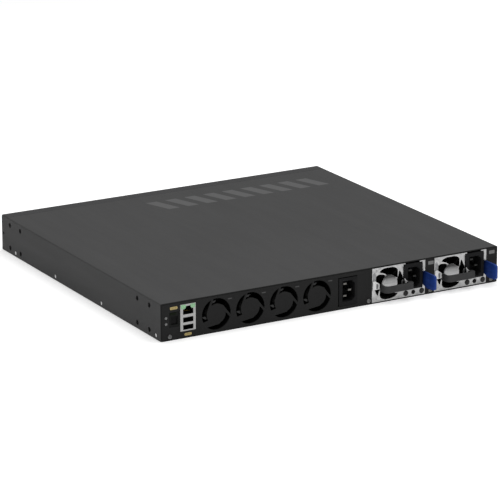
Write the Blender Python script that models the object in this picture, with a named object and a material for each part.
"""Rackmount network switch, 1U, seen from its fan and power side (+Y). Units are metres, +Z is up.

The origin is the centre of the base's underside. -Y is the port side, +Y the fan and power side.
Dimensions below are in millimetres and MM turns them into metres.
"""

import math

import bmesh
import bpy
from mathutils import Matrix, Vector

MM = 0.001

# Chassis envelope and sheet metal
HALF_W = 220.0
HALF_D = 200.0
HEIGHT = 43.2
SHEET = 1.2
GAP = 0.3
INNER_X = HALF_W - SHEET - GAP
INNER_Y = HALF_D - SHEET - GAP
FASCIA_DEPTH = 15.0
BEND_R = 1.6

# Side walls: rack-ear holes, guide hole and cover screws
EAR_PITCH = 28.0
EAR_Y = (-163.75, 159.5)
EAR_Z = 21.25
EAR_HOLE_R = 3.0
EAR_TAPPED_R = 2.5
GUIDE_Y, GUIDE_Z, GUIDE_R = -195.25, 21.5, 1.8
COVER_SCREW_Y = (-164.0, -58.0, 58.0, 188.0)
COVER_SCREW_Z = 4.6
COVER_HEAD_R, COVER_SHANK_R = 2.3, 1.4

# Rear panel furniture
REAR_SCREW_X = (209.0, -45.7, -128.2, -211.5)
REAR_SCREW_Z = 4.5
PAN_HEAD_R, PAN_HEAD_H, PAN_SHANK_R = 2.7, 1.3, 1.4
PAN_SLOT = (1.5, 0.3)
LED_X, LED_Z, LED_R = 213.3, (26.1, 19.4), 1.6
LED_BAR_Y = (188.0, 191.0)
CONSOLE_X, CONSOLE_Z, CONSOLE_DEPTH = (197.4, 209.0), (15.2, 31.6), 20.0
CONSOLE_MOUTH_X, CONSOLE_MOUTH_Z, CONSOLE_MOUTH_DEPTH = (199.1, 207.4), (17.6, 26.9), 14.0
STACK_X, STACK_Z = (176.9, 195.9), (8.3, 38.9)
STACK_FACE_Y, STACK_DEPTH = 200.4, 18.0
STACK_MOUTH_X = (179.8, 192.6)
STACK_SOCKETS_Z = ((18.1, 23.9), (9.7, 15.3))
STACK_JACK_Z = (27.1, 33.4)
STACK_INSERT_T, STACK_TONGUE_T = 4.0, 1.8

# Chassis fans
FAN_X = (150.8, 107.9, 65.0, 22.1)
FAN_Z = 21.2
FAN_SIZE, FAN_HALF_W, FAN_DEPTH = 39.2, 20.0, 28.0
FAN_REAR_Y = 198.4
FAN_BORE_R, FAN_HUB_R, FAN_TIP_R = 18.6, 11.2, 18.2
GRILLE_R, GRILLE_HUB_R = 18.1, 11.8
GRILLE_KNEE = (-12.1, 2.9)
SHORT_SLOT, LONG_SLOT = (205.5, 211.0), (221.5, 242.0)
FAN_STRUTS = ((2.0, 15.6), (-11.4, -9.9), (110, -10, -130))
STRUT_T, CUP_SETBACK = 2.0, 3.0
BLADES, BLADE_SWEEP, BLADE_SPREAD = 7, 14.0, 19.0
BLADE_REACH, BLADE_T = 4.2, 1.2

# Mains inlets
FIXED_INLET_X, FIXED_INLET_Z = (-30.0, -6.4), (4.0, 36.6)
FIXED_INLET_FACE_Y, FIXED_INLET_GAP = 200.3, 1.0
INLET_CAVITY_W, INLET_CAVITY_H, INLET_DEPTH = 16.3, 24.2, 15.0
FIXED_CAVITY_X, FIXED_CAVITY_Z = -19.1, 20.9
PIN_PITCH, PIN_W, PIN_T = 14.1, 4.0, 2.0
PIN_LINE_OFFSET, PIN_EARTH_OFFSET = 2.0, -2.9
PIN_PLACES = ((PIN_LINE_OFFSET, PIN_PITCH / 2), (PIN_LINE_OFFSET, -PIN_PITCH / 2), (PIN_EARTH_OFFSET, 0))

# Power supply modules
PSU_X = (-50.2, -133.8)
PSU_W, PSU_Z, PSU_Y = 70.9, (1.4, 41.5), (12.5, 200.0)
PSU_SHEET = 1.0
PSU_FAN_DX, PSU_FAN_Z = -22.8, 21.5
PSU_FAN_HALF_W, PSU_FAN_HALF_H, PSU_FAN_DEPTH = 18.6, 18.7, 24.0
PSU_FAN_BORE_R, PSU_FAN_HUB_R, PSU_FAN_TIP_R = 17.6, 9.6, 17.1
PSU_FAN_STRUTS = ((0.0, 18.4), (-1.0, 1.0), (45, 135, 225, 315))
PSU_BRACKET = (
    (-0.5, 16.2), (-0.5, 26.7), (-4.0, 26.7), (-5.8, 24.9),
    (-7.8, 23.9), (-9.7, 22.3), (-9.7, 16.2),
)
PSU_VENTS, PSU_VENT_PITCH, PSU_VENT_W, PSU_VENT_DX, PSU_VENT_Z = 9, 7.0, 4.0, -8.0, (16.0, 38.0)
PSU_CARD_DX, PSU_CARD_Y, PSU_CARD_OPENING_Z = (-51.0, -21.0), 3.5, (4.0, 12.0)
PSU_BOARD_DX, PSU_BOARD_Y = (-69.0, -2.5), (15.5, 165.0)
PSU_HEATSINK_DX, PSU_HEATSINK_Y, PSU_HEATSINK_Z = (-32.0, -8.0), (60.0, 150.0), (8.0, 34.0)
NUT_BAR_DX, NUT_BAR_Y = (-69.4, -43.0), (191.0, 193.5)
PSU_SCREW_DX, PSU_LED_DX, PSU_SCREW_Z = (-45.3, -66.7), -55.3, 5.6
PSU_BOARD_Z = (6.0, 7.6)
PSU_LED_R = 2.4
PSU_BLOCK_DX, PSU_BLOCK_Z = (-67.1, -41.8), (9.75, 40.0)
PSU_CAVITY_DX, PSU_CAVITY_Z = -55.3, 23.7
LATCH_DX, LATCH_Z = -69.4, (12.9, 28.2)
LATCH_T, LATCH_R, LATCH_OUT, LATCH_LEAN, LATCH_ROOT = 2.5, 3.0, 19.0, 0.2, 8.0
HANDLE_Z, HANDLE_T, HANDLE_OUT = (12.95, 20.95), 2.4, 11.0
HANDLE_X, HANDLE_BEND_R = (-11.3, -49.9), 6.0
HANDLE_BOSS_X, HANDLE_FOOT_X, HANDLE_FOOT_TOP, HANDLE_ROOT = -43.6, (-38.7, -36.5), 16.8, 3.0

# Cage, midplane and heatsinks
CAGE_RAIL_X = (-48.1, -127.8, -206.8)
CAGE_WALL_Y, CAGE_RAIL_END_Y, CAGE_Z = (10.2, 11.4), 186.0, (1.6, 41.2)
CAGE_SOCKET_DX, CAGE_SOCKET_Z = (-55.0, -17.0), (2.6, 13.0)
CAGE_AIR_DX, CAGE_AIR_Z = (-66.0, -6.0), (16.0, 38.0)
MIDPLANE_X, MIDPLANE_Y, MIDPLANE_Z = (-206.0, -50.0), (-3.0, -1.4), (3.0, 40.0)
SOCKET_DX, SOCKET_Y, SOCKET_Z = (-54.0, -18.0), (-1.1, 9.9), (3.0, 12.6)
SOCKET_SLOT_DX, SOCKET_SLOT_Y, SOCKET_SLOT_Z = (-51.6, -20.4), 2.5, (5.5, 8.1)
FILTER_X, FILTER_Y, FILTER_Z = (-40.0, -5.0), (130.0, 168.0), (3.0, 38.0)
SWITCH_SINK = ((10.0, 80.0), (-110.0, -40.0), 34.0, 10)
CPU_SINK = ((120.0, 160.0), (0.0, 40.0), 26.0, 6)
SINK_BASE = 4.0

# Port side
RJ_PITCH, RJ_COLUMNS = 14.0, 4
PORT_BLOCK_X = (-170.0, -108.0)
PORT_BLOCK_Z = (8.0, 34.6)
PORT_FACE_Y = -200.5
RJ_DEPTH, RJ_BLOCK_DEPTH = 18.0, 25.0
SFP_X, SFP_Z, SFP_PITCH, SFP_DEPTH = (150.0, 181.0), (8.0, 33.0), (14.8, 12.0), 48.0
SFP_MOUTH = (6.9, 4.5)
BUTTON_X, BUTTON_Z, BUTTON_R = -203.0, 12.0, 3.0
FRONT_LED_Z, FRONT_LED_R = (21.0, 25.0, 29.0, 33.0, 37.0), 1.0
AIR_SLOT_X, AIR_SLOT_PITCH, AIR_SLOT_W, AIR_SLOT_H, AIR_SLOT_Z = -62.0, 25.0, 21.0, 3.6, (12.0, 20.0, 28.0)
AIR_SLOTS = 8

# Boards
BOARD_Z = (6.0, 7.6)
BOARD_OUTLINE = (
    (-212, -170), (212, -170), (212, 195), (172.5, 195),
    (172.5, 166), (0, 166), (0, -12), (-212, -12),
)
STANDOFF_XY = (
    (-205, -185), (-205, -30), (0, -185), (205, -185), (205, -30),
    (10, 150), (205, 150), (100, -30),
)


def box(x0, x1, y0, y1, z0, z1):
    """Corners and faces of a rectangular block."""
    points = [(x, y, z) for x in sorted((x0, x1)) for y in sorted((y0, y1)) for z in sorted((z0, z1))]
    faces = [(0, 1, 3, 2), (4, 6, 7, 5), (0, 4, 5, 1), (2, 3, 7, 6), (0, 2, 6, 4), (1, 5, 7, 3)]
    return points, faces


def place(u, v, w, axis):
    """A point at u, v across the extrusion and w along it, in X, Y, Z."""
    return {"X": (w, u, v), "Y": (u, w, v), "Z": (u, v, w)}[axis]


def prism(outline, axis, low, high, holes=()):
    """An outline with holes, extruded along an axis."""
    bm = bmesh.new()
    for loop in (outline, *holes):
        ring = [bm.verts.new(place(u, v, low, axis)) for u, v in loop]
        for first, second in zip(ring, ring[1:] + ring[:1]):
            bm.edges.new((first, second))
    bmesh.ops.triangle_fill(bm, use_beauty=True, use_dissolve=False, edges=bm.edges[:])
    made = bmesh.ops.extrude_face_region(bm, geom=bm.faces[:])["geom"]
    shift = Vector(place(0, 0, high - low, axis))
    bmesh.ops.translate(bm, vec=shift, verts=[v for v in made if isinstance(v, bmesh.types.BMVert)])
    bmesh.ops.recalc_face_normals(bm, faces=bm.faces[:])
    bm.verts.index_update()
    points = [tuple(v.co) for v in bm.verts]
    faces = [tuple(v.index for v in face.verts) for face in bm.faces]
    bm.free()
    return points, faces


def circle(u, v, r, count=24):
    angles = [2 * math.pi * i / count for i in range(count)]
    return [(u + r * math.cos(a), v + r * math.sin(a)) for a in angles]


def rectangle(u0, u1, v0, v1):
    return [(u0, v0), (u1, v0), (u1, v1), (u0, v1)]


def rounded(u0, u1, v0, v1, r, steps=4):
    """A rectangle with rounded corners."""
    outline = []
    corners = ((u1 - r, v0 + r, -90), (u1 - r, v1 - r, 0), (u0 + r, v1 - r, 90), (u0 + r, v0 + r, 180))
    for cu, cv, start in corners:
        for i in range(steps + 1):
            a = math.radians(start + 90 * i / steps)
            outline.append((cu + r * math.cos(a), cv + r * math.sin(a)))
    return outline


def rod(u, v, r, axis, low, high, count=24):
    return prism(circle(u, v, r, count), axis, low, high)


def arc(r, start, end, steps):
    """Points on a circle about the origin, from one angle to another, in degrees."""
    angles = [math.radians(start + (end - start) * i / steps) for i in range(steps + 1)]
    return [(r * math.cos(a), r * math.sin(a)) for a in angles]


def material(name, colour, roughness, metallic):
    made = bpy.data.materials.new(name)
    made.use_nodes = True
    shader = made.node_tree.nodes["Principled BSDF"]
    shader.inputs["Base Color"].default_value = (*colour, 1.0)
    shader.inputs["Roughness"].default_value = roughness
    shader.inputs["Metallic"].default_value = metallic
    return made


def mesh_object(name, shapes, origin):
    """One object from one or more closed shapes, with its origin at a point given in millimetres."""
    points, faces = [], []
    for shape_points, shape_faces in shapes:
        start = len(points)
        points += [tuple((p - o) * MM for p, o in zip(point, origin)) for point in shape_points]
        faces += [tuple(start + i for i in face) for face in shape_faces]
    mesh = bpy.data.meshes.new(name)
    mesh.from_pydata(points, [], faces)
    bm = bmesh.new()
    bm.from_mesh(mesh)
    bmesh.ops.recalc_face_normals(bm, faces=bm.faces[:])
    bm.to_mesh(mesh)
    bm.free()
    obj = bpy.data.objects.new(name, mesh)
    obj.location = [o * MM for o in origin]
    bpy.context.scene.collection.objects.link(obj)
    return obj


def combine(obj, operation, shapes, origin):
    """Adds the shapes to the object, or cuts them from it."""
    helper = mesh_object(f"{obj.name}_{operation.lower()}", shapes, origin)
    helper.hide_render = True
    helper.display_type = "WIRE"
    modifier = obj.modifiers.new(operation.lower(), "BOOLEAN")
    modifier.operation = operation
    modifier.solver = "EXACT"
    modifier.use_self = len(shapes) > 1
    modifier.object = helper


def solid(name, look, shapes, cuts=(), origin=(0, 0, 0)):
    """One named piece: the first shape, joined with the others, less the cuts. Curved sides are smooth."""
    obj = shade_round(mesh_object(name, shapes[:1], origin))
    if len(shapes) > 1:
        combine(obj, "UNION", shapes[1:], origin)
    if cuts:
        combine(obj, "DIFFERENCE", list(cuts), origin)
    obj.data.materials.append(look)
    return obj


def shade_round(obj, angle=35):
    """Smooth shading on the curved sides, with hard edges kept."""
    for face in obj.data.polygons:
        face.use_smooth = True
    obj.data.update()
    bm = bmesh.new()
    bm.from_mesh(obj.data)
    for edge in bm.edges:
        if len(edge.link_faces) == 2 and edge.calc_face_angle(0) > math.radians(angle):
            edge.smooth = False
    bm.to_mesh(obj.data)
    bm.free()
    return obj


def clear_scene():
    for obj in list(bpy.data.objects):
        bpy.data.objects.remove(obj, do_unlink=True)


def ear_holes(radius):
    """Cutters for the two groups of rack-ear holes and the guide hole, through both side walls."""
    cutters = []
    for middle in EAR_Y:
        for dy in (-EAR_PITCH / 2, EAR_PITCH / 2):
            for dz in (-EAR_PITCH / 2, EAR_PITCH / 2):
                for low, high in ((HALF_W - 4, HALF_W + 1), (-HALF_W - 1, -HALF_W + 4)):
                    cutters.append(rod(middle + dy, EAR_Z + dz, radius, "X", low, high, 12))
    for low, high in ((HALF_W - 4, HALF_W + 1), (-HALF_W - 1, -HALF_W + 4)):
        cutters.append(rod(GUIDE_Y, GUIDE_Z, GUIDE_R, "X", low, high, 8))
    return cutters


def screw_holes(radius):
    """Cutters for the cover screws, through both side walls."""
    cutters = []
    for y in COVER_SCREW_Y:
        for low, high in ((HALF_W - 4, HALF_W + 1), (-HALF_W - 1, -HALF_W + 4)):
            cutters.append(rod(y, COVER_SCREW_Z, radius, "X", low, high, 12))
    return cutters


def top_cover(look):
    """Lid and both outer side walls, folded from one sheet."""
    inner = HALF_W - SHEET
    right = [(HALF_W - BEND_R + u, HEIGHT - BEND_R + v) for u, v in arc(BEND_R, 0, 90, 5)]
    left = [(-x, z) for x, z in reversed(right)]
    under = HEIGHT - SHEET
    outline = [(HALF_W, 0.4)] + right + left + [(-HALF_W, 0.4), (-inner, 0.4), (-inner, under)]
    outline += [(inner, under), (inner, 0.4)]
    body = prism(outline, "Y", -HALF_D + 0.1, HALF_D)
    front = box(-inner, inner, -HALF_D - 1, -HALF_D + FASCIA_DEPTH, HEIGHT - 3, HEIGHT + 1)
    solid("top_cover", look, [body], [front, *ear_holes(EAR_HOLE_R), *screw_holes(COVER_HEAD_R + GAP)])


def base_pan(look):
    """Floor with two inner side flanges and the board stand-offs."""
    x, inner, top = INNER_X, INNER_X - SHEET, HEIGHT - SHEET - 0.4
    outline = [(-x, 0), (x, 0), (x, top), (inner, top)]
    outline += [(inner, SHEET), (-inner, SHEET), (-inner, top), (-x, top)]
    body = prism(outline, "Y", -INNER_Y, INNER_Y)
    posts = [rod(px, py, 3.0, "Z", SHEET / 2, BOARD_Z[0] - GAP, 12) for px, py in STANDOFF_XY]
    solid("base_pan", look, [body, *posts], [*ear_holes(EAR_TAPPED_R), *screw_holes(COVER_SHANK_R + GAP)])


def cover_screws(side, sign, look):
    """Four flush cover screws on the tapped strip that holds them, inside one flange."""
    x0, x1 = sign * (INNER_X - SHEET - GAP), sign * (INNER_X - SHEET - 2.0)
    shapes = [box(x0, x1, COVER_SCREW_Y[0] - 5, COVER_SCREW_Y[-1] + 5, COVER_SCREW_Z - 2, COVER_SCREW_Z + 2)]
    for y in COVER_SCREW_Y:
        inside, neck, face = sign * (INNER_X - SHEET - 1), sign * (HALF_W - 1.0), sign * (HALF_W - 0.1)
        shapes.append(rod(y, COVER_SCREW_Z, COVER_SHANK_R, "X", *sorted((inside, face)), 12))
        shapes.append(rod(y, COVER_SCREW_Z, COVER_HEAD_R, "X", *sorted((neck, face)), 16))
    solid(f"cover_screws_{side}", look, shapes)


def mirrored(outline):
    return [(-u, v) for u, v in outline]


def turned(outline, degrees):
    a = math.radians(degrees)
    return [(u * math.cos(a) - v * math.sin(a), u * math.sin(a) + v * math.cos(a)) for u, v in outline]


def swirl_slots():
    """The three slots of a chassis fan grille, about its centre, as seen from behind."""
    slots = []
    for turn, (outer_end, inner_end) in ((0, SHORT_SLOT), (-120, LONG_SLOT), (-240, LONG_SLOT)):
        slot = arc(GRILLE_R, outer_end, 110.2, 12) + [GRILLE_KNEE] + arc(GRILLE_HUB_R, 174, inner_end, 4)
        slots.append(turned(slot, turn))
    return slots


def rear_holes():
    """Every opening of the rear panel but the supply bays, which are notches in its outline."""
    holes = [circle(LED_X, z, LED_R + GAP, 16) for z in LED_Z]
    holes += [circle(x, REAR_SCREW_Z, PAN_SHANK_R + GAP, 12) for x in REAR_SCREW_X]
    holes.append(rectangle(CONSOLE_X[0] - GAP, CONSOLE_X[1] + GAP, CONSOLE_Z[0] - GAP, CONSOLE_Z[1] + GAP))
    holes.append(rectangle(STACK_X[0] - GAP, STACK_X[1] + GAP, STACK_Z[0] - GAP, STACK_Z[1] + GAP))
    (x0, x1), (z0, z1) = FIXED_INLET_X, FIXED_INLET_Z
    holes.append(rectangle(x0 - GAP, x1 + FIXED_INLET_GAP, z0 - GAP, z1 + FIXED_INLET_GAP))
    for x in FAN_X:
        for slot in swirl_slots():
            holes.append([(x + u, FAN_Z + v) for u, v in mirrored(slot)])
    return holes


def rear_panel(look):
    """Rear sheet with the fan grilles, open at the top over both supply bays."""
    top = HEIGHT - SHEET - GAP
    outline = [(-INNER_X, 0), (INNER_X, 0), (INNER_X, top)]
    for x in PSU_X:
        near, far = x + GAP, x - PSU_W - GAP
        outline += [(near, top), (near, PSU_Z[0] - GAP), (far, PSU_Z[0] - GAP), (far, top)]
    outline.append((-INNER_X, top))
    solid("rear_panel", look, [prism(outline, "Y", HALF_D - SHEET, HALF_D, rear_holes())])


def rear_screws(look):
    for number, x in enumerate(REAR_SCREW_X, 1):
        head = rod(x, REAR_SCREW_Z, PAN_HEAD_R, "Y", HALF_D + GAP / 3, HALF_D + PAN_HEAD_H, 20)
        shank = rod(x, REAR_SCREW_Z, PAN_SHANK_R, "Y", HALF_D - 4, HALF_D + 1, 12)
        slots = []
        for u, v in (PAN_SLOT, PAN_SLOT[::-1]):
            slots.append(box(x - u, x + u, HALF_D + 0.7, HALF_D + 2, REAR_SCREW_Z - v, REAR_SCREW_Z + v))
        solid(f"rear_screw_{number}", look, [head, shank], slots)


def rear_led_pipe(look):
    """Two status light guides on one bar behind the panel."""
    shapes = [box(LED_X - 2.0, LED_X + 2.0, *LED_BAR_Y, LED_Z[1] - 3, LED_Z[0] + 3)]
    shapes += [rod(LED_X, z, LED_R, "Y", HALF_D - 10, HALF_D - 0.1, 16) for z in LED_Z]
    solid("rear_led_pipe", look, shapes)


def console_jack(look):
    """Black jack with its mouth in a recess, on a foot that stands on the board."""
    (x0, x1), (z0, z1) = CONSOLE_X, CONSOLE_Z
    body = box(x0, x1, HALF_D - CONSOLE_DEPTH, HALF_D - 0.1, z0, z1)
    foot = box(x0, x1, HALF_D - CONSOLE_DEPTH, HALF_D - 3, BOARD_Z[1] + GAP, z0 + 1)
    mouth = box(*CONSOLE_MOUTH_X, HALF_D - CONSOLE_MOUTH_DEPTH, HALF_D + 1, *CONSOLE_MOUTH_Z)
    solid("console_jack", look, [body, foot], [mouth])


def stack_port(shell_look, insert_look):
    """Metal connector shell with a jack over two flat sockets, and the moulded insert inside it."""
    (x0, x1), (z0, z1) = STACK_X, STACK_Z
    (m0, m1), (j0, j1) = STACK_MOUTH_X, STACK_JACK_Z
    middle, half = (m0 + m1) / 2, (m1 - m0) / 2
    steps = [(half, j0), (half, j1), (half - 2.3, j1), (half - 2.3, j1 + 1.7)]
    steps += [(half - 3.6, j1 + 1.7), (half - 3.6, j1 + 3.2)]
    jack = [(middle + u, v) for u, v in steps] + [(middle - u, v) for u, v in reversed(steps)]
    through = (HALF_D - STACK_DEPTH - 12, HALF_D + 3)
    cuts = [prism(jack, "Y", *through)]
    cuts += [box(m0, m1, *through, low, high) for low, high in STACK_SOCKETS_Z]
    solid("stack_port_shell", shell_look, [box(x0, x1, HALF_D - STACK_DEPTH, STACK_FACE_Y, z0, z1)], cuts)
    back = HALF_D - STACK_DEPTH - GAP
    shapes = [box(x0, x1, back - STACK_INSERT_T, back, z0, z1)]
    for _, high in STACK_SOCKETS_Z:
        shapes.append(box(m0 + 1.5, m1 - 1.5, back - 1, HALF_D - 4, high - 0.7 - STACK_TONGUE_T, high - 0.7))
    shapes.append(box(m0 + 0.9, m1 - 0.9, back - 1, HALF_D - 12, j0 + 0.6, j1 - 1.4))
    solid("stack_port_insert", insert_look, shapes)


def inlet_pins(name, x, z, face_y, look):
    """Three flat blades on the terminal bar behind the inlet."""
    back = face_y - INLET_DEPTH
    bar = box(x - 6, x + 5, back - 10.5, back - 7, z - 9.5, z + 9.5)
    blades = []
    for dx, dz in PIN_PLACES:
        tip = face_y - (3 if dx == PIN_EARTH_OFFSET else 5)
        u, v = PIN_W / 2, PIN_T / 2
        blades.append(box(x + dx - u, x + dx + u, back - 8, tip, z + dz - v, z + dz + v))
    solid(name, look, [bar, *blades])


def inlet_cuts(x, z, face_y):
    """The plug cavity with its two chamfers, and the slots that the blades pass through."""
    w, h, c = INLET_CAVITY_W / 2, INLET_CAVITY_H / 2, 4.0
    mouth = [(x + w, z - h), (x + w, z + h), (x - w + c, z + h), (x - w, z + h - c)]
    mouth += [(x - w, z - h + c), (x - w + c, z - h)]
    cuts = [prism(mouth, "Y", face_y - INLET_DEPTH, face_y + 1)]
    u, v = PIN_W / 2 + GAP, PIN_T / 2 + GAP
    for dx, dz in PIN_PLACES:
        cuts.append(box(x + dx - u, x + dx + u, face_y - INLET_DEPTH - 9, face_y - 5, z + dz - v, z + dz + v))
    return cuts


def fixed_inlet(housing_look, pin_look):
    (x0, x1), (z0, z1) = FIXED_INLET_X, FIXED_INLET_Z
    face = FIXED_INLET_FACE_Y
    body = box(x0, x1, face - INLET_DEPTH - 6, face, z0, z1)
    solid("ac_inlet_housing", housing_look, [body], inlet_cuts(FIXED_CAVITY_X, FIXED_CAVITY_Z, face))
    inlet_pins("ac_inlet_pins", FIXED_CAVITY_X, FIXED_CAVITY_Z, face, pin_look)


def ac_filter_can(look):
    solid("ac_filter_can", look, [box(*FILTER_X, *FILTER_Y, *FILTER_Z)])


def fan_frame(name, x, z, half_w, half_h, bore, hub, rear, depth, struts, look):
    """Square fan body with a round bore, and the struts that carry the hub plate at the rear."""
    outline = rounded(x - half_w, x + half_w, z - half_h, z + half_h, 2.5, 3)
    body = prism(outline, "Y", rear - depth, rear, [circle(x, z, bore, 32)])
    plate = rod(x, z, hub, "Y", rear - STRUT_T, rear, 24)
    along, across, turns = struts
    arms = []
    for turn in turns:
        strip = [(x + u, z + v) for u, v in turned(rectangle(*along, *across), turn)]
        arms.append(prism(strip, "Y", rear - STRUT_T, rear))
    solid(name, look, [body, plate, *arms])


def fan_rotor(name, x, z, hub, tip, front, rear, look):
    """Cup and twisted blades, with the origin on the fan's axis."""
    cup = rod(x, z, hub, "Y", front, rear, 28)
    blades = []
    for number in range(BLADES):
        turn = Matrix.Rotation(2 * math.pi * number / BLADES, 3, "Y")
        points = []
        for radius, sweep in ((hub - 1.0, 0.0), (tip, BLADE_SWEEP)):
            for side, thick in ((-1, -1), (1, -1), (1, 1), (-1, 1)):
                a = math.radians(sweep + BLADE_SPREAD * side)
                y = BLADE_REACH * side + BLADE_T / 2 * thick
                p = turn @ Vector((radius * math.sin(a), y, radius * math.cos(a)))
                points.append((x + p.x, (front + rear) / 2 + p.y, z + p.z))
        faces = [(0, 1, 2, 3), (7, 6, 5, 4), (0, 4, 5, 1), (1, 5, 6, 2), (2, 6, 7, 3), (3, 7, 4, 0)]
        blades.append((points, faces))
    middle = (x, (front + rear) / 2, z)
    solid(name, look, [cup, *blades], origin=middle)


def chassis_fans(frame_look, rotor_look):
    half = FAN_SIZE / 2
    for number, x in enumerate(FAN_X, 1):
        frame = (x, FAN_Z, FAN_HALF_W, half, FAN_BORE_R, FAN_HUB_R, FAN_REAR_Y, FAN_DEPTH, FAN_STRUTS)
        fan_frame(f"fan_frame_{number}", *frame, frame_look)
        span = (FAN_REAR_Y - FAN_DEPTH + CUP_SETBACK, FAN_REAR_Y - STRUT_T - 2 * GAP)
        fan_rotor(f"fan_rotor_{number}", x, FAN_Z, FAN_HUB_R, FAN_TIP_R, *span, rotor_look)


def guard_openings():
    """The four openings of the stamped supply fan guard about its centre, as seen from behind."""
    top = [(-13.2, 14.3), (-11.5, 16.5), (-7.6, 18.1), (-5.6, 18.4), (4.4, 18.3), (7.4, 17.5), (10.0, 15.9)]
    top += [(11.3, 14.0), (11.3, 4.6), (8.1, 5.8), (5.6, 7.8), (3.1, 9.2), (0.0, 9.8), (-2.9, 9.5)]
    top += [(-4.6, 10.6), (-6.3, 11.9), (-8.8, 12.8)]
    bottom = [(-11.7, -6.0), (-12.5, -10.0), (-12.5, -13.5), (-11.2, -16.1), (-8.5, -17.9), (-4.6, -18.7)]
    bottom += [(0.6, -18.6), (5.0, -18.0), (8.3, -16.8), (10.8, -14.8), (11.8, -13.4), (8.8, -13.0)]
    bottom += [(6.3, -12.4), (4.4, -11.1), (2.9, -9.9), (0.0, -9.9), (-3.1, -9.4), (-5.6, -8.1)]
    bottom += [(-8.1, -6.3), (-10.2, -5.0)]
    side = [(13.2, 12.5), (14.3, 12.2), (15.9, 9.4), (17.3, 6.6), (18.5, 3.2), (18.7, 1.8), (17.0, 1.0)]
    side += [(16.4, -0.6), (16.4, -9.6), (12.0, -11.1), (7.4, -10.9), (5.4, -9.6)]
    side += [(7.0, -7.2), (8.8, -4.2), (9.8, -1.0), (10.3, 2.0), (11.0, 4.2), (11.9, 6.6), (12.5, 9.2)]
    far = [(-14.8, -12.6), (-16.4, -12.1), (-19.6, -5.2), (-19.6, 3.0), (-19.4, 5.8), (-18.5, 8.3)]
    far += [(-17.2, 10.4), (-14.3, 11.8), (-8.2, 11.3), (-5.6, 9.9), (-6.1, 7.6), (-8.8, 4.2), (-9.8, 1.0)]
    far += [(-10.3, -2.0), (-11.7, -3.6), (-12.9, -6.0), (-13.6, -8.6)]
    return [top, bottom, side, far]


def psu_case(name, edge, look):
    """Sheet box of one supply: open guard and plug window at the rear, vents and a board slot at the front."""
    x1, x0 = edge, edge - PSU_W
    (z0, z1), (y0, y1), t = PSU_Z, PSU_Y, PSU_SHEET
    fan_x, (block_0, block_1) = edge + PSU_FAN_DX, [edge + dx for dx in PSU_BLOCK_DX]
    rear = (y1 - t - 1, y1 + 1)
    shapes = [box(x0, x1, y0, y1, z0, z1)]
    shapes.append(prism([(edge + u, v) for u, v in PSU_BRACKET], "Y", y1 - 0.5, y1 + 0.8))
    cuts = [box(x0 + t, x1 - t, y0 + t, y1 - t, z0 + t, z1 - t)]
    for opening in guard_openings():
        cuts.append(prism([(fan_x - u, PSU_FAN_Z + v) for u, v in opening], "Y", y1 - t - 1, y1 + GAP / 30))
    cuts.append(box(block_0 - GAP, block_1 + GAP, *rear, PSU_BLOCK_Z[0] - GAP, PSU_BLOCK_Z[1] + GAP))
    cuts.append(box(block_0 + 3.4, block_1 - 2.5, y1 - 9, y1 + 1, PSU_BLOCK_Z[1], z1 + 1))
    cuts.append(box(x0 - 1, x0 + 3.9, y1 - LATCH_ROOT - 3, y1 + 1, LATCH_Z[0] - GAP, LATCH_Z[1] + GAP))
    leg = edge + HANDLE_X[0]
    cuts.append(box(leg - HANDLE_T - GAP, leg + GAP, *rear, HANDLE_Z[0] - GAP, HANDLE_Z[1] + GAP))
    cuts += [rod(edge + dx, PSU_SCREW_Z, PAN_SHANK_R + GAP, "Y", *rear, 12) for dx in PSU_SCREW_DX]
    cuts.append(rod(edge + PSU_LED_DX, PSU_SCREW_Z, PSU_LED_R + GAP, "Y", *rear, 16))
    card_0, card_1 = (edge + dx for dx in PSU_CARD_DX)
    cuts.append(box(card_0 - 1, card_1 + 1, y0 - 1, y0 + 2, *PSU_CARD_OPENING_Z))
    for column in range(PSU_VENTS):
        x = edge + PSU_VENT_DX - PSU_VENT_PITCH * column
        cuts.append(box(x - PSU_VENT_W / 2, x + PSU_VENT_W / 2, y0 - 1, y0 + 2, *PSU_VENT_Z))
    solid(name, look, shapes, cuts)


def psu_handle(name, edge, look):
    """Handle: a bar from its leg to a thick boss, and the low foot that goes back through the guard."""
    y, t, r = PSU_Y[1], HANDLE_T, HANDLE_BEND_R
    left, right, boss = edge + HANDLE_X[0], edge + HANDLE_X[1], edge + HANDLE_BOSS_X
    foot_0, foot_1 = (edge + dx for dx in HANDLE_FOOT_X)
    root, back, out = y - HANDLE_ROOT, y + 3.8, y + HANDLE_OUT
    outline = [(left, root), (left, out - r)]
    outline += [(left - r + u, out - r + v) for u, v in arc(r, 0, 90, 5)]
    outline += [(right + 3.4, out), (right + 1.6, out - 0.6), (right, out - 3)]
    outline += [(right, back + 1), (right + 1, back)]
    outline += [(boss, back), (boss, out - t)]
    outline += [(left - r + u, out - r + v) for u, v in arc(r - t, 90, 0, 5)]
    outline.append((left - t, root))
    bar = prism(outline, "Z", *HANDLE_Z)
    low = [(boss - 2, back + 0.2), (boss - 2, back + 3), (boss + 1, back + 3), (foot_1, back), (foot_1, root)]
    low += [(foot_0, root), (foot_0, back + 0.2)]
    foot = prism(low, "Z", HANDLE_Z[0] + 0.2, HANDLE_FOOT_TOP)
    solid(name, look, [bar, foot])


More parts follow.
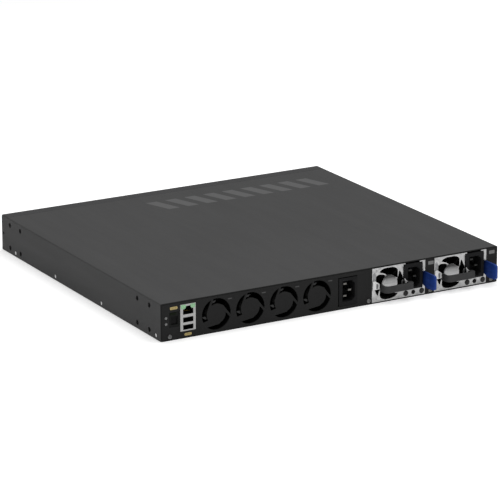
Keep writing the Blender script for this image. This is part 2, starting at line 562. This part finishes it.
def psu_latch(name, edge, look):
    """Spring latch: a plate leaning out of the rear face on a short root, with the origin on its pivot."""
    x, y, t = edge + LATCH_DX, PSU_Y[1], LATCH_T / 2
    (low, high), out = LATCH_Z, y + LATCH_OUT
    tip = [(y, low), (y + 4.8, low - 3.0), (y + 9.0, low - 3.8)]
    tip += [(out - LATCH_R + u, low - 3.8 + LATCH_R + v) for u, v in arc(LATCH_R, -90, 0, 4)]
    tip += [(out - LATCH_R + u, high - 1.3 - LATCH_R + v) for u, v in arc(LATCH_R, 0, 90, 4)]
    tip += [(y, high), (y - LATCH_ROOT, high), (y - LATCH_ROOT, low)]
    points, faces = prism(tip, "X", x - t, x + t)
    points = [(px - LATCH_LEAN * max(0.0, py - y), py, pz) for px, py, pz in points]
    solid(name, look, [(points, faces)], origin=(x, y, (low + high) / 2))


def psu_inlet(name, edge, look):
    face = PSU_Y[1] + 1.0
    x0, x1 = edge + PSU_BLOCK_DX[0], edge + PSU_BLOCK_DX[1]
    z0, z1 = PSU_BLOCK_Z
    outline = [(x1, z0), (x1, z1 - 3), (x1 - 1, z1 - 1), (x1 - 3, z1)]
    outline += [(x0 + 2, z1), (x0 + 0.6, z1 - 0.6), (x0, z1 - 2), (x0, z0)]
    body = prism(outline, "Y", face - INLET_DEPTH - 6, face)
    solid(name, look, [body], inlet_cuts(edge + PSU_CAVITY_DX, PSU_CAVITY_Z, face))


def psu_screws(name, edge, look):
    """The two dark face screws on their nut bar."""
    y = PSU_Y[1]
    bar_x = [edge + dx for dx in NUT_BAR_DX]
    shapes = [box(*bar_x, *NUT_BAR_Y, PSU_SCREW_Z - 2.3, PSU_SCREW_Z + 1.9)]
    for dx in PSU_SCREW_DX:
        shapes.append(rod(edge + dx, PSU_SCREW_Z, PAN_SHANK_R, "Y", y - 8, y + 1, 12))
        shapes.append(rod(edge + dx, PSU_SCREW_Z, PAN_HEAD_R + 0.1, "Y", y + GAP / 3, y + 1.2, 20))
    solid(name, look, shapes)


def psu_led(name, edge, look):
    """Status lens with its stem through the rear face."""
    span = (PSU_Y[1] - 5, PSU_Y[1] + 0.4)
    solid(name, look, [rod(edge + PSU_LED_DX, PSU_SCREW_Z, PSU_LED_R, "Y", *span, 20)])


def psu_board(name, edge, look):
    """Converter board with a card edge that reaches into the midplane socket."""
    (x0, x1), (card_0, card_1) = [[edge + dx for dx in pair] for pair in (PSU_BOARD_DX, PSU_CARD_DX)]
    y0, y1 = PSU_BOARD_Y
    outline = [(x0, y0), (x0, y1), (x1, y1), (x1, y0)]
    outline += [(card_1, y0), (card_1, PSU_CARD_Y), (card_0, PSU_CARD_Y), (card_0, y0)]
    solid(name, look, [prism(outline, "Z", *PSU_BOARD_Z)])


def comb(x0, x1, y0, y1, z0, z1, base, fins):
    """Finned aluminium block, fins running along Y."""
    pitch = (x1 - x0) / (2 * fins - 1)
    outline = [(x0, z0), (x1, z0)]
    for number in reversed(range(fins)):
        left = x0 + 2 * pitch * number
        outline += [(left + pitch, z1), (left, z1)]
        if number:
            outline += [(left, z0 + base), (left - pitch, z0 + base)]
    return prism(outline, "Y", y0, y1)


def power_supply(number, edge, looks):
    """All pieces of one removable supply."""
    name = f"psu_{number}"
    psu_case(f"{name}_case", edge, looks["psu_steel"])
    psu_handle(f"{name}_handle", edge, looks["psu_handle"])
    psu_latch(f"{name}_latch", edge, looks["latch_blue"])
    psu_inlet(f"{name}_inlet", edge, looks["inlet_plastic"])
    inlet_pins(f"{name}_pins", edge + PSU_CAVITY_DX, PSU_CAVITY_Z, PSU_Y[1] + 1.0, looks["pin_metal"])
    fan_x, rear = edge + PSU_FAN_DX, PSU_Y[1] - PSU_SHEET - GAP
    frame = (PSU_FAN_HALF_W, PSU_FAN_HALF_H, PSU_FAN_BORE_R, PSU_FAN_HUB_R, rear - 3, PSU_FAN_DEPTH)
    fan_frame(f"{name}_fan_frame", fan_x, PSU_FAN_Z, *frame, PSU_FAN_STRUTS, looks["fan_plastic"])
    rotor = (PSU_FAN_HUB_R, PSU_FAN_TIP_R, rear - 3 - PSU_FAN_DEPTH + 2, rear - 3 - STRUT_T - 2 * GAP)
    fan_rotor(f"{name}_fan_rotor", fan_x, PSU_FAN_Z, *rotor, looks["fan_rotor"])
    psu_board(f"{name}_board", edge, looks["board"])
    sink_x = [edge + dx for dx in PSU_HEATSINK_DX]
    sink = comb(*sink_x, *PSU_HEATSINK_Y, *PSU_HEATSINK_Z, 3.0, 6)
    solid(f"{name}_heatsink", looks["heatsink"], [sink])
    psu_screws(f"{name}_screws", edge, looks["dark_screw"])
    psu_led(f"{name}_led", edge, looks["psu_led"])


def psu_cage(look):
    """Three guide rails and the cross wall that stops the supplies."""
    y0, y1 = CAGE_WALL_Y
    shapes = [box(CAGE_RAIL_X[2], CAGE_RAIL_X[0], y0, y1, *CAGE_Z)]
    shapes += [box(x - 0.5, x + 0.5, y0, CAGE_RAIL_END_Y, *CAGE_Z) for x in CAGE_RAIL_X]
    cuts = []
    for edge in PSU_X:
        for (left, right), heights in ((CAGE_SOCKET_DX, CAGE_SOCKET_Z), (CAGE_AIR_DX, CAGE_AIR_Z)):
            cuts.append(box(edge + left, edge + right, y0 - 1, y1 + 1, *heights))
    solid("psu_cage", look, shapes, cuts)


def midplane(board_look, socket_look):
    """Power board across the bays with one card-edge socket per supply."""
    solid("midplane_board", board_look, [box(*MIDPLANE_X, *MIDPLANE_Y, *MIDPLANE_Z)])
    for number, edge in enumerate(PSU_X, 1):
        body = box(edge + SOCKET_DX[0], edge + SOCKET_DX[1], *SOCKET_Y, *SOCKET_Z)
        slot_x = [edge + dx for dx in SOCKET_SLOT_DX]
        slot = box(*slot_x, SOCKET_SLOT_Y, SOCKET_Y[1] + 1, *SOCKET_SLOT_Z)
        solid(f"midplane_socket_{number}", socket_look, [body], [slot])


def main_board(look):
    """L-shaped system board: the full width at the front, and the fan side behind it."""
    solid("main_board", look, [prism(BOARD_OUTLINE, "Z", *BOARD_Z)])


def heatsinks(look):
    low = BOARD_Z[1] + GAP
    for name, (xs, ys, top, fins) in (("switch_heatsink", SWITCH_SINK), ("cpu_heatsink", CPU_SINK)):
        solid(name, look, [comb(*xs, *ys, low, top, SINK_BASE, fins)])


def jack_mouth(x, z, flip):
    """Jack opening with its latch step; flip turns the step downwards."""
    mouth = [(5.85, -3.9), (5.85, 2.6), (3.2, 2.6), (3.2, 4.2)]
    mouth += [(-3.2, 4.2), (-3.2, 2.6), (-5.85, 2.6), (-5.85, -3.9)]
    return [(x + u, z + v * flip) for u, v in mouth]


def port_blocks(look):
    """Two shielded blocks of stacked network jacks."""
    half = RJ_PITCH * RJ_COLUMNS / 2
    for number, x in enumerate(PORT_BLOCK_X, 1):
        z0, z1 = PORT_BLOCK_Z
        body = box(x - half - 0.5, x + half + 0.5, PORT_FACE_Y, PORT_FACE_Y + RJ_BLOCK_DEPTH, z0, z1)
        cuts = []
        for column in range(RJ_COLUMNS):
            jx = x - half + RJ_PITCH * (column + 0.5)
            for jz, flip in ((z0 + 6.4, -1), (z1 - 6.4, 1)):
                cuts.append(prism(jack_mouth(jx, jz, flip), "Y", PORT_FACE_Y - 1, PORT_FACE_Y + RJ_DEPTH))
        solid(f"port_block_{number}", look, [body], cuts)


def sfp_cage(look):
    """Two-by-two cage for optical modules."""
    (x0, x1), (z0, z1), (u, v) = SFP_X, SFP_Z, SFP_MOUTH
    mouth = (PORT_FACE_Y - 1, PORT_FACE_Y + SFP_DEPTH - 2)
    cuts = []
    for column in (-0.5, 0.5):
        for row in (-0.5, 0.5):
            x, z = (x0 + x1) / 2 + column * SFP_PITCH[0], (z0 + z1) / 2 + row * SFP_PITCH[1]
            cuts.append(box(x - u, x + u, *mouth, z - v, z + v))
    solid("sfp_cage", look, [box(x0, x1, PORT_FACE_Y, PORT_FACE_Y + SFP_DEPTH, z0, z1)], cuts)


def mode_button(look):
    """Round push button on a square stem, with the origin on its axis."""
    cap = rod(BUTTON_X, BUTTON_Z, BUTTON_R, "Y", -HALF_D - 1.2, -HALF_D + 4, 24)
    stem = box(BUTTON_X - 1.5, BUTTON_X + 1.5, -HALF_D + 3, -HALF_D + 14, BUTTON_Z - 1.5, BUTTON_Z + 1.5)
    solid("mode_button", look, [cap, stem], origin=(BUTTON_X, -HALF_D, BUTTON_Z))


def front_led_pipe(look):
    """Column of status light guides over the button."""
    low, high = FRONT_LED_Z[0] - 2, FRONT_LED_Z[-1] + 2
    shapes = [box(BUTTON_X - 1, BUTTON_X + 1, -HALF_D + 5, -HALF_D + 8, low, high)]
    shapes += [rod(BUTTON_X, z, FRONT_LED_R, "Y", -HALF_D + 0.1, -HALF_D + 6, 12) for z in FRONT_LED_Z]
    solid("front_led_pipe", look, shapes)


def front_holes():
    """Openings of the port side: jacks, modules, button, lights and the air slots."""
    half = RJ_PITCH * RJ_COLUMNS / 2 + 0.5 + GAP
    z0, z1 = PORT_BLOCK_Z
    holes = [rectangle(x - half, x + half, z0 - GAP, z1 + GAP) for x in PORT_BLOCK_X]
    holes.append(rectangle(SFP_X[0] - GAP, SFP_X[1] + GAP, SFP_Z[0] - GAP, SFP_Z[1] + GAP))
    holes.append(circle(BUTTON_X, BUTTON_Z, BUTTON_R + GAP, 24))
    holes += [circle(BUTTON_X, z, FRONT_LED_R + GAP, 12) for z in FRONT_LED_Z]
    for column in range(AIR_SLOTS):
        x = AIR_SLOT_X + AIR_SLOT_PITCH * column
        for z in AIR_SLOT_Z:
            holes.append(rounded(x, x + AIR_SLOT_W, z, z + AIR_SLOT_H, 1.5, 1))
    return holes


def front_bezel(look):
    """Port-side sheet with the flange that meets the lid."""
    face = prism(rectangle(-INNER_X, INNER_X, 0, HEIGHT), "Y", -HALF_D, -HALF_D + SHEET, front_holes())
    flange = box(-INNER_X, INNER_X, -HALF_D, -HALF_D + FASCIA_DEPTH - GAP, HEIGHT - SHEET, HEIGHT)
    solid("front_bezel", look, [face, flange])


def looks():
    """Every material by name."""
    table = {
        "cover_paint": ((0.075, 0.075, 0.076), 0.55, 0.0),
        "panel_paint": ((0.024, 0.024, 0.024), 0.6, 0.0),
        "pan_paint": ((0.05, 0.05, 0.05), 0.6, 0.0),
        "bezel_paint": ((0.065, 0.065, 0.067), 0.5, 0.0),
        "zinc": ((0.55, 0.56, 0.57), 0.4, 1.0),
        "screw_metal": ((0.7, 0.7, 0.7), 0.3, 1.0),
        "dark_screw": ((0.1, 0.1, 0.1), 0.4, 1.0),
        "port_metal": ((0.62, 0.61, 0.59), 0.35, 1.0),
        "psu_steel": ((0.66, 0.67, 0.68), 0.38, 1.0),
        "psu_handle": ((0.06, 0.06, 0.062), 0.5, 0.0),
        "latch_blue": ((0.012, 0.035, 0.16), 0.45, 0.0),
        "inlet_plastic": ((0.03, 0.03, 0.031), 0.5, 0.0),
        "pin_metal": ((0.72, 0.7, 0.65), 0.3, 1.0),
        "fan_plastic": ((0.012, 0.012, 0.012), 0.5, 0.0),
        "fan_rotor": ((0.016, 0.016, 0.016), 0.45, 0.0),
        "jack_plastic": ((0.012, 0.013, 0.012), 0.4, 0.0),
        "insert_plastic": ((0.12, 0.12, 0.12), 0.5, 0.0),
        "light_pipe": ((0.55, 0.55, 0.55), 0.25, 0.0),
        "psu_led": ((0.005, 0.005, 0.005), 0.2, 0.0),
        "board": ((0.01, 0.07, 0.03), 0.5, 0.0),
        "heatsink": ((0.5, 0.51, 0.52), 0.4, 1.0),
        "socket_plastic": ((0.02, 0.02, 0.02), 0.5, 0.0),
        "button_plastic": ((0.2, 0.2, 0.2), 0.45, 0.0),
        "filter_metal": ((0.6, 0.6, 0.6), 0.35, 1.0),
    }
    return {name: material(name, *values) for name, values in table.items()}


def main():
    clear_scene()
    look = looks()
    top_cover(look["cover_paint"])
    base_pan(look["pan_paint"])
    rear_panel(look["panel_paint"])
    front_bezel(look["bezel_paint"])
    psu_cage(look["zinc"])
    for side, sign in (("left", -1), ("right", 1)):
        cover_screws(side, sign, look["screw_metal"])
    rear_screws(look["screw_metal"])
    rear_led_pipe(look["light_pipe"])
    console_jack(look["jack_plastic"])
    stack_port(look["port_metal"], look["insert_plastic"])
    fixed_inlet(look["inlet_plastic"], look["pin_metal"])
    ac_filter_can(look["filter_metal"])
    chassis_fans(look["fan_plastic"], look["fan_rotor"])
    for number, edge in enumerate(PSU_X, 1):
        power_supply(number, edge, look)
    midplane(look["board"], look["socket_plastic"])
    main_board(look["board"])
    heatsinks(look["heatsink"])
    port_blocks(look["port_metal"])
    sfp_cage(look["port_metal"])
    mode_button(look["button_plastic"])
    front_led_pipe(look["light_pipe"])


main()
